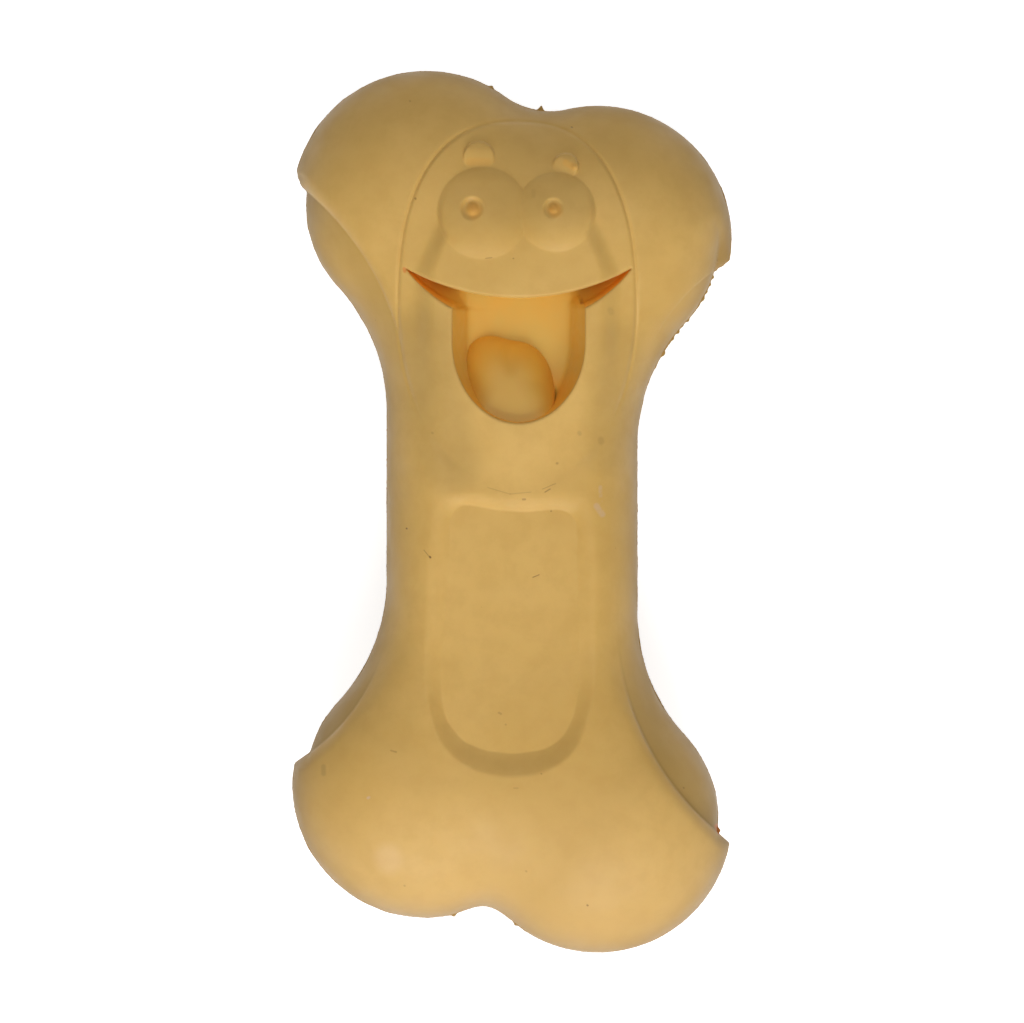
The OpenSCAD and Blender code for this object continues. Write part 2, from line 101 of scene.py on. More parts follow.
# How many sine waves add up to a random one
WAVES = 9


def at(u, v):
    return np.array([(u - MIDDLE_U) * PIXEL, (MIDDLE_V - v) * PIXEL])


def smooth(t):
    t = np.clip(t, 0, 1)
    return t * t * (3 - 2 * t)


def mixed(a, b, t):
    return a + (b - a) * t


def soft_max(a, b, width):
    return (a + b + np.sqrt((a - b) ** 2 + width**2)) / 2


def wave(x, y, size, seed):
    """A smooth random value from about -1 to 1 that changes over about size"""
    random = np.random.default_rng(seed)
    total = 0
    for _ in range(WAVES):
        turn, shift = random.uniform(0, 2 * np.pi, 2)
        pitch = size * random.uniform(0.6, 1.7)
        total = total + np.sin((x * np.cos(turn) + y * np.sin(turn)) * 2 * np.pi / pitch + shift)
    return total / (WAVES / 2)


# A line is two arrays: places along it, and the directions that point into the rubber
def arc(centre, r, start, end, inwards, step=LINE_STEP):
    count = max(2, int(abs(np.radians(end - start)) * r / step))
    a = np.radians(np.linspace(start, end, count, endpoint=False))
    u = np.stack([np.cos(a), np.sin(a)], 1)
    return np.array(centre) + r * u, u * inwards


def straight(start, end, inwards, step=LINE_STEP):
    start, end = np.array(start, float), np.array(end, float)
    count = max(2, int(np.linalg.norm(end - start) / step))
    share = np.linspace(0, 1, count, endpoint=False)[:, None]
    return start + (end - start) * share, np.tile(np.array(inwards, float), (count, 1))


def joined(lines):
    return np.concatenate([l[0] for l in lines]), np.concatenate([l[1] for l in lines])


def towards(a, b):
    return np.degrees(np.arctan2(b[1] - a[1], b[0] - a[0]))


cant = np.radians(CANT)
right_lobe = np.array([LOBE_SPREAD * np.cos(cant), END_REACH - LOBE_SPREAD * np.sin(cant)])
left_lobe = np.array([-right_lobe[0], 2 * END_REACH - right_lobe[1]])


def neck_of(lobe):
    side = np.sign(lobe[0])
    drop = np.sqrt((LOBE_R + NECK_R) ** 2 - (HALF_W + NECK_R - abs(lobe[0])) ** 2)
    return np.array([side * (HALF_W + NECK_R), lobe[1] - drop])


right_neck, left_neck = neck_of(right_lobe), neck_of(left_lobe)
NOTCH_REACH = np.sqrt((LOBE_R + NOTCH_R) ** 2 - LOBE_SPREAD**2)
notch = np.array([NOTCH_REACH * np.sin(cant), END_REACH + NOTCH_REACH * np.cos(cant)])


def bone_line():
    """The outline of the bone, anticlockwise from the middle of its right side"""
    head = joined([
        straight((HALF_W, 0), (HALF_W, right_neck[1]), (-1, 0)),
        arc(right_neck, NECK_R, 180, towards(right_neck, right_lobe), 1),
        arc(right_lobe, LOBE_R, towards(right_lobe, right_neck), towards(right_lobe, notch), -1),
        arc(notch, NOTCH_R, towards(notch, right_lobe), towards(notch, left_lobe), 1),
        arc(left_lobe, LOBE_R, towards(left_lobe, notch), towards(left_lobe, left_neck) + 360, -1),
        arc(left_neck, NECK_R, towards(left_neck, left_lobe), 0, 1),
        straight((-HALF_W, left_neck[1]), (-HALF_W, 0), (1, 0)),
    ])
    return joined([head, (-head[0], -head[1])])


BONE = bone_line()


def nearest(p, places):
    """For each place p, which of many places is the nearest"""
    index = np.empty(len(p), int)
    squares = (places**2).sum(1)
    for k in range(0, len(p), BATCH):
        index[k : k + BATCH] = (squares - 2 * p[k : k + BATCH] @ places.T).argmin(1)
    return index


def gap_to(p, places):
    """How far each place p is from the nearest of many places"""
    return np.hypot(*(p - places[nearest(p, places)]).T)


def depth_in(p, line):
    """How far each place p lies inside a line, and below zero outside it"""
    i = nearest(p, line[0])
    away = p - line[0][i]
    inside = (away * line[1][i]).sum(1)
    far = np.hypot(away[:, 0], away[:, 1])
    return np.where(far > 1, np.sign(inside) * far, inside)


def enclosed(p, line):
    """Whether each place p lies inside a closed line of straight steps"""
    start, end = line, np.roll(line, -1, 0)
    crossings = np.zeros(len(p), int)
    for k in range(0, len(p), BATCH):
        x, y = p[k : k + BATCH, 0:1], p[k : k + BATCH, 1:2]
        spans = (start[:, 1] > y) != (end[:, 1] > y)
        rise = np.where(end[:, 1] == start[:, 1], 1, end[:, 1] - start[:, 1])
        across = start[:, 0] + (end[:, 0] - start[:, 0]) * (y - start[:, 1]) / rise
        crossings[k : k + BATCH] = (spans & (x < across)).sum(1)
    return crossings % 2 == 1


def lobeness(y):
    """0 along the shaft and 1 from the middle of the lobes on"""
    return smooth((abs(y) - right_neck[1]) / (END_REACH - right_neck[1]))


def hood_out(y):
    return mixed(-HOOD_SINK, HOOD_STEP, lobeness(y))


def hood_up(y):
    return mixed(-HOOD_SINK, HOOD_RISE, lobeness(y))


def rolled(t):
    """The height of a rolled edge, from 0 at the edge to 1 where the roll ends"""
    t = np.clip(t, 0, 1)
    return (1 - (1 - t) ** ROLL_POWER) ** (1 / ROLL_POWER)


def crease_depth(x, y):
    """How far a place lies on the hoods' side of the nearest crease, and how deep that crease is"""
    s = np.stack([np.hypot(x - cx, y - cy) - r for cx, cy, r in CREASES])
    i = s.argmin(0)
    return np.take_along_axis(s, i[None], 0)[0], np.array(CREASE_DEPTHS)[i]


def dome(x, y, inside):
    """The plain front over the parting plane: the bone with its hoods"""
    shaft = 1 - lobeness(y)
    roll = mixed(LOBE_ROLL, SHAFT_ROLL, shaft)
    crown = CROWN * shaft * (1 - smooth(abs(x) / HALF_W))
    high = mixed(LOBE_H, SHAFT_H, shaft)
    core = high * rolled(inside / roll) + crown
    core = np.where(inside > 0, core, 0)
    out = hood_out(y)
    hood = (high + hood_up(y)) * rolled((inside + out) / (roll + out)) + crown
    hood = np.where(inside + out > 0, hood, 0)
    s, deep = crease_depth(x, y)
    t = np.clip(s / (STEP_RUN + STEP_RUN_LOBES * lobeness(y)), 0, 1)
    crisp = np.where(s > -0.02, STEP_UPRIGHT + (1 - STEP_UPRIGHT) * np.sqrt(1 - (1 - t) ** 2), 0)
    # Creases are crisp on the lobes and soft where they run out, and a shallow one is soft all over
    share = mixed(smooth((s + 0.3) / 3), crisp, smooth((lobeness(y) - 0.3) / 0.5))
    share = mixed(share, smooth(s / 8), 1 - deep)
    return core + np.maximum(hood - core, 0) * share


def oval_line(out):
    """The edge of the face's oval, moved out of it by about an even distance"""
    a = np.linspace(0, 2 * np.pi, 600, endpoint=False)
    c, s = np.cos(a), np.sin(a)
    power = np.where(s > 0, FACE_ROUND, 1)
    c, s = np.sign(c) * abs(c) ** power, np.sign(s) * abs(s) ** power
    return np.stack([FACE_X + (FACE_RX + out) * c, FACE_Y + (FACE_RY + out) * s], 1)


def oval_depth(x, y):
    """How far a place lies inside the face's oval, about"""
    qx, qy = abs(x - FACE_X) / FACE_RX + 1e-6, abs(y - FACE_Y) / FACE_RY + 1e-6
    power = np.where(y > FACE_Y, 2 / FACE_ROUND, 2)
    reach = (qx**power + qy**power) ** (1 / power)
    slope = np.hypot((qx / reach) ** (power - 1) / FACE_RX, (qy / reach) ** (power - 1) / FACE_RY)
    return (1 - reach) / slope


def muzzle(x, y, e):
    """The raised middle of the face: its sides slope down to a ledge, and its chin to the oval's end"""
    down, side = (FACE_Y - y) / FACE_RY, (x - FACE_X) / FACE_RX
    chin = down / (np.hypot(down, side) + 0.01)
    start = mixed(*MUZZLE_START, smooth(chin / 0.8)) + LEAN * np.maximum(y - LEAN_Y, 0)
    width = mixed(*MUZZLE_WIDTH, smooth((chin - 0.2) / 0.7))
    share = smooth((e - start) / width)
    for place, r in EYES:
        share = np.maximum(share, smooth(4 * (1 - ((x - place[0]) ** 2 + (y - place[1]) ** 2) / r**2)))
    return MUZZLE_RISE * share * (1 - smooth((y - MUZZLE_TOP) / MUZZLE_FADE))


# Eyes: the middle and radius of each, their rise, how round they are, and how crisply they meet
EYES = [(at(483, 214), 7.3), (at(556, 213), 6.3)]
EYE_RISE, EYE_POWER, EYE_BLEND = 1.4, 0.75, 7
# Pupils: the middles of each dimple and of the bump that is left in it, and the dimple's radius
PUPILS = [(at(472.4, 209.8), at(473.8, 211.4), 2.07), (at(553.2, 209.4), at(554.3, 210.8), 1.8)]
DIMPLE_D, DIMPLE_SLOPE, BUMP_H, BUMP_SHARE = 0.75, 1.1, 0.7, 0.85


def eyes(x, y):
    """Two mounds, crisper at the top than below, with a dimple and a bump in it for each pupil"""
    total = 0 * x
    for place, r in EYES:
        q = 1 - ((x - place[0]) ** 2 + (y - place[1]) ** 2) / r**2
        soft = mixed(0.05, 0.02, smooth(0.5 + (y - place[1]) / (1.4 * r)))
        mound = EYE_RISE * soft_max(q, 0 * q, soft) ** EYE_POWER
        total = (total**EYE_BLEND + mound**EYE_BLEND) ** (1 / EYE_BLEND)
    for dimple, bump, r in PUPILS:
        far = np.hypot(x - dimple[0], y - dimple[1])
        near = np.hypot(x - bump[0], y - bump[1])
        total = total - DIMPLE_D * smooth((r - far) / DIMPLE_SLOPE)
        total = total + BUMP_H * np.clip(1 - (near / (BUMP_SHARE * r)) ** 2, 0, 1) ** 1.5
    return total


# Brows: the middle, radius, turn in degrees and height of each half-moon, and the blob that ends one
BROWS = [(at(479, 158), 2.62, 0, 0.75), (at(565.5, 167), 2.2, -22, 1.0)]
BROW_END, BROW_END_R, BROW_END_H = at(574.5, 168.5), 0.5, 0.25
BROW_SLOPE = 0.35


def brows(x, y):
    """Half-moons that stand up crisply at their round top and run out below"""
    total = BROW_END_H * np.exp(-(np.hypot(x - BROW_END[0], y - BROW_END[1]) / BROW_END_R) ** 2)
    for (bx, by), r, turn, high in BROWS:
        up = np.radians(90 + turn)
        along = (x - bx) * np.cos(up) + (y - by) * np.sin(up)
        inside = r - np.hypot(x - bx, y - by)
        total = total + high * smooth(inside / BROW_SLOPE) * smooth((along + 0.7 * r) / (1.3 * r))
    return total


def mouth_lines():
    """The mouth's edge in two lines, with directions out of the mouth: its lip, and all the rest"""
    lip_c = np.array([MOUTH_X, LIP_Y + LIP_R])
    smile_c = np.array([MOUTH_X, LIP_Y - SMILE_DROP + SMILE_R])
    gap = lip_c[1] - smile_c[1]
    corner_y = smile_c[1] - (LIP_R**2 - SMILE_R**2 - gap**2) / (2 * gap)
    corner_a = np.degrees(np.arcsin((corner_y - smile_c[1]) / SMILE_R))
    lip_a = np.degrees(np.arcsin((corner_y - lip_c[1]) / LIP_R))
    jaw_a = -np.degrees(np.arccos(JAW_W / 2 / SMILE_R))
    jaw_top = smile_c[1] + SMILE_R * np.sin(np.radians(jaw_a))
    jaw_low = JAW_Y + JAW_ROUND
    step = FINE
    lip = arc(lip_c, LIP_R, -180 - lip_a, lip_a, -1, step)
    right = arc(smile_c, SMILE_R, corner_a, jaw_a, 1, step)
    right_side = straight((MOUTH_X + JAW_W / 2, jaw_top), (MOUTH_X + JAW_W / 2, jaw_low), (1, 0), step)
    a = np.linspace(0, -np.pi, int(np.pi * BOWL_R / step), endpoint=False)
    bowl = np.stack([MOUTH_X + JAW_W / 2 * np.cos(a), jaw_low + JAW_ROUND * np.sin(a)], 1)
    out = np.stack([np.cos(a) * JAW_ROUND, np.sin(a) * JAW_W / 2], 1)
    out = out / np.linalg.norm(out, axis=1)[:, None]
    left_side = straight((MOUTH_X - JAW_W / 2, jaw_low), (MOUTH_X - JAW_W / 2, jaw_top), (-1, 0), step)
    left = arc(smile_c, SMILE_R, -180 - jaw_a, -180 - corner_a, 1, step)
    return lip, joined([right, right_side, (bowl, out), left_side, left])


LIP, JAW = mouth_lines()
MOUTH = joined([LIP, JAW])


def in_mouth(p):
    """Whether each place lies in the mouth's opening: below the lip, and in the smile or the jaw"""
    far_lip = np.hypot(p[:, 0] - MOUTH_X, p[:, 1] - LIP_Y - LIP_R) - LIP_R
    smile = np.hypot(p[:, 0] - MOUTH_X, p[:, 1] - LIP_Y + SMILE_DROP - SMILE_R) < SMILE_R
    low = JAW_Y + JAW_ROUND
    wide = abs(p[:, 0] - MOUTH_X) < JAW_W / 2
    bowl = ((p[:, 0] - MOUTH_X) / (JAW_W / 2)) ** 2 + ((p[:, 1] - low) / JAW_ROUND) ** 2 < 1
    jaw = np.where(p[:, 1] > low, wide, bowl)
    return (far_lip > 0) & (smile | jaw) & (p[:, 1] < FACE_Y + FACE_RY)


def closed_line(pixels, ease):
    """A closed line through pixels, with its corners eased and directions that point inside"""
    p = np.array([at(*pixel) for pixel in [*pixels, pixels[0]]])
    along = np.concatenate([[0], np.cumsum(np.hypot(*np.diff(p, axis=0).T))])
    want = np.arange(0, along[-1], LINE_STEP)
    line = np.stack([np.interp(want, along, p[:, k]) for k in (0, 1)], 1)
    for _ in range(2):
        line = sum(np.roll(line, k, 0) for k in range(-ease, ease + 1)) / (2 * ease + 1)
    run = np.roll(line, -1, 0) - np.roll(line, 1, 0)
    inwards = np.stack([-run[:, 1], run[:, 0]], 1)
    return line, inwards / np.linalg.norm(inwards, axis=1)[:, None]


# The rim of the recess and the edge of its floor, in pixels, from the top right round the foot's side
RECESS_RIM = closed_line([
    (592, 490), (512, 493), (434, 490), (430, 500), (429, 540), (427, 600), (425, 650), (426, 690),
    (429, 708), (436, 735), (451, 756), (478, 772), (511, 777.5), (542, 773), (567, 760), (582, 740),
    (589, 714), (594, 690), (596, 650), (596, 600), (596, 540), (596, 500)], 15)
RECESS_FLOOR = closed_line([
    (577, 523), (572, 514), (561, 509), (549, 509.7), (525.6, 512.3), (497, 510.2), (466, 504), (457, 506),
    (449, 519), (449.5, 560), (446, 610), (441, 660), (441, 695), (446, 720), (463, 741), (486, 750.5),
    (514, 753.5), (545, 749), (562, 738), (573, 718), (578, 695), (579, 650), (577.5, 600), (577, 560)], 8)


def recess(x, y):
    """The depth of the recess, which starts softly below the chin and crisply elsewhere"""
    p = np.stack([x, y], 1)
    from_rim = np.maximum(depth_in(p, RECESS_RIM), 0)
    to_floor = np.maximum(-depth_in(p, RECESS_FLOOR), 0)
    t = from_rim / (from_rim + to_floor + 1e-6)
    soft = smooth((y - RECESS_SOFT_Y) / RECESS_SOFT_RUN)
    deep = RECESS_D + RECESS_SHARE * (LOBE_H - SHAFT_H - CROWN) * lobeness(y)
    return deep * mixed(t - 0.02 * np.sin(2 * np.pi * t), t**2, soft)


def face(x, y):
    """All relief on the front: the oval, the muzzle, eyes, brows and the recess"""
    e = oval_depth(x, y)
    fade = smooth((y - 13) / 10)
    groove = -GROOVE_D * np.exp(-((e / GROOVE_W) ** 2)) * fade
    low = smooth((24 - y) / 8) * smooth((y - 4) / 6)
    groove = groove - TROUGH_D * np.exp(-(((e - TROUGH_IN) / TROUGH_W) ** 2)) * low
    shelf = SHELF_RISE * smooth((e + 0.2) / 0.6) * smooth((y - 10) / 10)
    return groove + shelf + muzzle(x, y, e) + eyes(x, y) + brows(x, y) - recess(x, y)


def front_height(p, inside):
    """The height of the front over the parting plane, with its relief, the lip's fillet and faint waves"""
    x, y = p[:, 0], p[:, 1]
    z = dome(x, y, inside) + face(x, y) * smooth((inside + hood_out(y) - 0.8) / 1.6)
    s = gap_to(p, MOUTH[0])
    t = np.clip(1 - s / LIP_FILLET, 0, 1)
    z = z - LIP_FILLET * (1 - np.sqrt(1 - t**2)) * (s < LIP_FILLET)
    rough = 0.02 * wave(x, y, 5, 3) + 0.06 * wave(x, y, 24, 4)
    return np.where(inside > 2.5, z + rough * smooth((inside - 2.5) / 4), z)


# Where the rim strays from its plain line: a pixel there, the shift in pixels, and its reach
STRAYS = [((488, 910), (0, -7), 3.6), ((296, 180), (3, -3), 1.0)]


def strayed(places):
    moved = places.copy()
    for pixel, (du, dv), reach in STRAYS:
        share = np.exp(-(np.hypot(*(places - at(*pixel)).T) / reach) ** 2)
        moved += share[:, None] * np.array([du, -dv]) * PIXEL
    return moved


def rim_line():
    """The edge of the front shell at the parting plane, with the steps of its hoods"""
    places, inwards = BONE
    raised = places - inwards * hood_out(places[:, 1])[:, None]
    in_base, in_raised = crease_depth(*places.T)[0], crease_depth(*raised.T)[0]
    out, into = [], []
    hooded = False
    for i in [*range(len(places)), 0]:
        over = in_raised[i] > 0 and hood_out(places[i, 1]) > HOOD_LEAST
        if over and not hooded:
            # What the hood covers of the plain line goes
            while out and crease_depth(*out[-1][:, None])[0][0] > 0:
                out.pop()
                into.pop()
        hooded = over
        if over:
            out.append(raised[i])
            into.append(inwards[i])
        elif in_base[i] < 0 or hood_out(places[i, 1]) <= HOOD_LEAST:
            out.append(places[i])
            into.append(inwards[i])
    return np.array(out), np.array(into)


def spaced(line, step):
    """The same closed line with places about a step apart, and its sharp corners kept"""
    p, n = line
    gaps = np.hypot(*(np.roll(p, -1, 0) - p).T)
    along = np.concatenate([[0], np.cumsum(gaps)])
    count = int(along[-1] / step)
    want = np.linspace(0, along[-1], count, endpoint=False)
    closed_p, closed_n = np.vstack([p, p[:1]]), np.vstack([n, n[:1]])
    q = np.stack([np.interp(want, along, closed_p[:, k]) for k in (0, 1)], 1)
    m = np.stack([np.interp(want, along, closed_n[:, k]) for k in (0, 1)], 1)
    return q, m / (np.linalg.norm(m, axis=1)[:, None] + 1e-9)


def rows(line, offsets):
    """Copies of a line, each moved in by an offset, without the places that come too near to it again"""
    found = []
    for offset in offsets:
        p = line[0] + line[1] * offset
        found.append(p[gap_to(p, line[0]) > abs(offset) * ROW_KEEP])
    return np.concatenate(found)


def grid(box, step, near, wanted):
    """Places in even rows of triangles where they are wanted, and clear of the places near"""
    (x0, y0), (x1, y1) = box
    xs, ys = np.arange(x0, x1, step), np.arange(y0, y1, step * 0.866)
    gx, gy = np.meshgrid(xs, ys)
    gx[1::2] += step / 2
    p = np.stack([gx.ravel(), gy.ravel()], 1)
    p = p[wanted(p)]
    cell = step * 0.75
    taken = set()
    for a in (-0.5, 0.5):
        for b in (-0.5, 0.5):
            taken.update(map(tuple, np.floor(near / cell + (a, b)).astype(int)))
    free = [tuple(c) not in taken for c in np.floor(p / cell).astype(int)]
    return p[np.array(free)]


def triangulate(edges, inner):
    """Triangles over closed edge lines and loose places inside them"""
    points = np.concatenate([*edges, inner])
    bounds, start = [], 0
    for line in edges:
        n = len(line)
        bounds += [(start + k, start + (k + 1) % n) for k in range(n)]
        start += n
    found = delaunay_2d_cdt([tuple(v) for v in points], bounds, [], 0, 1e-5, False)
    return np.array([tuple(v) for v in found[0]]), np.array([tuple(f) for f in found[2]])


def mesh_object(name, points, faces, smooth_shade=True):
    """A Blender object of places in millimetres"""
    mesh = bpy.data.meshes.new(name)
    mesh.from_pydata((np.asarray(points) * MM).tolist(), [], [tuple(map(int, f)) for f in faces])
    mesh.polygons.foreach_set("use_smooth", [smooth_shade] * len(mesh.polygons))
    mesh.update()
    obj = bpy.data.objects.new(name, mesh)
    bpy.context.scene.collection.objects.link(obj)
    return obj


def strip(a, b, closed=True):
    """The places and faces of a band between two lines of equal length"""
    n = len(a)
    last = n if closed else n - 1
    faces = [(k, (k + 1) % n, n + (k + 1) % n, n + k) for k in range(last)]
    return np.concatenate([a, b]), faces


def with_level(p, z):
    return np.column_stack([p, np.broadcast_to(z, len(p))])


# Offsets of the rows of places that follow the rim, which lie closest where the skin is steepest
ROLL_STEPS = 13 * (1 - np.cos(np.radians(np.arange(1, 20) * 2.6)))


def crease_places(rim):
    """Rows of places along the creases, denser at their steps"""
    found = []
    for cx, cy, r in CREASES:
        for off in (-0.5, -0.25, -0.1, -0.03, 0.0, 0.08, 0.18, 0.32, 0.5, 0.75, 1.05, 1.4, 1.8):
            found.append(arc((cx, cy), r + off, 0, 360, 1, 0.3)[0])
    found = np.concatenate(found)
    return found[(depth_in(found, rim) > 0.05) & (abs(found[:, 0]) > 15)]


def relief_places():
    """Rows of places along the lines of the oval, the recess, the eyes, the brows and the mouth"""
    found = [oval_line(out) for out in (-0.9, -0.6, -0.4, -0.25, -0.12, 0, 0.12, 0.25, 0.4, 0.6, 0.9)]
    found.append(rows(RECESS_RIM, (-0.4, -0.15, 0, 0.15, 0.4, 0.8, 1.2))[::3])
    found.append(rows(RECESS_FLOOR, (-0.9, -0.5, -0.25, -0.08, 0, 0.08, 0.25, 0.5))[::3])
    for c, r in EYES:
        found += [arc(c, r + off, 0, 360, 1, FINE)[0] for off in (-0.6, -0.35, -0.18, -0.06, 0.04, 0.2)]
    for c, _, r in PUPILS:
        found += [arc(c, r * k / 14, 0, 360, 1, 0.13)[0] for k in range(1, 16)]
    for c, r, *_ in BROWS:
        found += [arc(c, r + off, 0, 360, 1, 0.14)[0] for off in (-0.4, -0.27, -0.14, 0, 0.12)]
    found.append(rows(MOUTH, (0.04, 0.1, 0.18, 0.28, 0.4, 0.55, 0.75)))
    return np.concatenate(found)


def front_skin():
    """The front's places, faces and heights, its edge, and the plain rim that the flash follows"""
    rim = spaced(rim_line(), MEDIUM)
    wobble = 0.07 * wave(*rim[0].T, 7, 11)
    edge = rim[0] - rim[1] * wobble[:, None]
    lined = np.concatenate([rows(rim, ROLL_STEPS), crease_places(rim)])

    def inside(p):
        return depth_in(p, rim) > 0.3

    detail = relief_places()
    detail = detail[inside(detail)]
    near = np.concatenate([edge, lined, detail, MOUTH[0]])
    fine_grid = grid(((-12, 38), (14, 60)), FINE, near, inside)
    even_grid = grid(((-36, -71), (36, 71)), COARSE, np.concatenate([near, fine_grid]), inside)
    inner = np.concatenate([lined, detail, fine_grid, even_grid])
    inner = inner[~in_mouth(inner)]
    places, faces = triangulate([edge, MOUTH[0]], inner)
    centres = places[faces].mean(1)
    faces = faces[enclosed(centres, edge) & ~in_mouth(centres)]
    z = BACK_DEPTH + front_height(places, depth_in(places, BONE))
    z[: len(edge)] = BACK_DEPTH
    return strayed(places), faces, z, strayed(edge), (strayed(rim[0]), rim[1])


def front_shell():
    """The front's skin with the ledge under its hoods, its rim, and the heights of the mouth's edge"""
    places, faces, z, edge, rim = front_skin()
    skin = with_level(places, z)
    i = nearest(edge, BONE[0])
    base = BONE[0][i] + BONE[1][i] * 1.5
    ledge, ledge_faces = strip(with_level(base, BACK_DEPTH), with_level(edge, BACK_DEPTH))
    start = len(skin)
    points = np.concatenate([skin, ledge])
    tris = [tuple(f) for f in faces] + [tuple(i + start for i in f) for f in ledge_faces]
    front = mesh_object("front_skin", points, tris)
    return front, rim, z[len(edge) : len(edge) + len(MOUTH[0])]


def pocket_height(p, edge_z):
    """The mouth's pocket: drafted walls, a level floor under the lip, and wings that shelve up"""
    i = nearest(p, JAW[0])
    s = np.hypot(*(p - JAW[0][i]).T)
    steep = (edge_z - POCKET_FLOOR) / (POCKET_DRAFT * (1 - 0.6 * JAW[1][i, 1] ** 2))
    side, level = abs(p[:, 0] - MOUTH_X), JAW_W / 2 - POCKET_DRAFT
    run = np.clip((WING_REACH - side) / (WING_REACH - level), 0, 1)
    low = mixed(edge_z - CORNER_DEPTH, POCKET_FLOOR, run)
    rounding = POCKET_ROUND * smooth(s / 1.5) + 0.01
    return soft_max(edge_z - steep * s, low, rounding)


def mouth_pocket(rim_z):
    """The amber pocket, whose edge has the heights of the opening in the front"""
    inward = (JAW[0], -JAW[1])
    low_rows = rows(inward, (0.12, 0.28, 0.46, 0.66, 0.9, 1.15, 1.4, 1.65, 1.9, 2.15, 2.4, 2.7, 3.1))
    low_rows = low_rows[in_mouth(low_rows)]
    low_rows = low_rows[gap_to(low_rows, LIP[0]) > 0.12]

    def inside(p):
        return in_mouth(p) & (gap_to(p, MOUTH[0]) > 0.2)

    near = np.concatenate([low_rows, MOUTH[0]])
    even = grid(((-20, 12), (22, 42)), MEDIUM, near, inside)
    places, faces = triangulate([MOUTH[0]], np.concatenate([low_rows, even]))
    faces = faces[in_mouth(places[faces].mean(1))]
    bone = depth_in(places, BONE)
    edge_z = BACK_DEPTH + dome(*places.T, bone) + face(*places.T) - LIP_FILLET
    z = pocket_height(places, edge_z)
    n, n_lip = len(MOUTH[0]), len(LIP[0])
    z[n_lip:n] = rim_z[n_lip:]
    # The wall under the lip, from its edge down to the floor
    top = with_level(LIP[0], rim_z[:n_lip])
    bottom = with_level(LIP[0], z[:n_lip])
    tuck = np.array([0, 0.35, 0])
    levels = [top, top * 0.7 + bottom * 0.3 + tuck, top * 0.3 + bottom * 0.7 + tuck, bottom]
    points, tris = [with_level(places, z)], [tuple(f) for f in faces]
    start = len(places)
    for a, b in zip(levels, levels[1:]):
        wall, wall_faces = strip(a, b, closed=False)
        points.append(wall)
        tris += [tuple(i + start for i in f) for f in wall_faces]
        start += len(wall)
    return mesh_object("mouth_pocket", np.concatenate(points), tris)


# The tongue's middle and its edge in pixels, from the right round its back
TONGUE_MIDDLE = at(508, 382)
TONGUE_EDGE = [
    (553, 383), (547, 362), (536, 348), (520, 341.5), (508, 341), (490, 335), (475, 339), (466, 350),
    (463, 366), (463, 381), (469, 395), (481, 409), (498, 420), (518, 426), (538, 422), (551, 412),
    (555, 398)]
TONGUE_H, TONGUE_TILT = 5.6, 0.34
# How far it sinks into the pocket's floor, and how deep its furrow is
TONGUE_SINK, FURROW_D = 0.4, 0.35
# The direction in which the tongue lies up against the jaw, in degrees
TONGUE_SEAT = -90


def tongue_pad():
    """A pad that lies up against the jaw at its tip and drops round its back"""
    around, rings = 180, 42
    a = np.linspace(0, 2 * np.pi, around, endpoint=False)
    away = np.array([at(*pixel) for pixel in TONGUE_EDGE]) - TONGUE_MIDDLE
    turns = np.arctan2(away[:, 1], away[:, 0])
    reach = np.interp(a, turns, np.hypot(*away.T), period=2 * np.pi)
    for _ in range(2):
        reach = sum(np.roll(reach, k) for k in range(-4, 5)) / 9
    seat = smooth((np.cos(a - np.radians(TONGUE_SEAT)) + 0.1) / 0.9)
    share = np.sin(np.linspace(0.02, np.pi / 2, rings))
    ring_points = []
    for t in share:
        x = TONGUE_MIDDLE[0] + reach * t * np.cos(a)
        y = TONGUE_MIDDLE[1] + reach * t * np.sin(a)
        tilt = TONGUE_TILT * (TONGUE_MIDDLE[1] - y)
        dip = FURROW_D * np.exp(-(((x + 0.3) / 1.1) ** 2)) * smooth((y - TONGUE_MIDDLE[1]) / 4)
        high = mixed((1 - t**2.6) ** 0.55, 1 - 0.1 * t**2, seat)
        z = POCKET_FLOOR - TONGUE_SINK + (TONGUE_H + TONGUE_SINK + tilt - dip) * high
        ring_points.append(np.stack([x, y, z], 1))
    points = np.concatenate(ring_points)
    tris = []
    for r in range(rings - 1):
        for k in range(around):
            j = (k + 1) % around
            tris.append((r * around + k, (r + 1) * around + k, (r + 1) * around + j, r * around + j))
    tris.append(tuple(range(around)))
    return mesh_object("tongue_pad", points, tris)


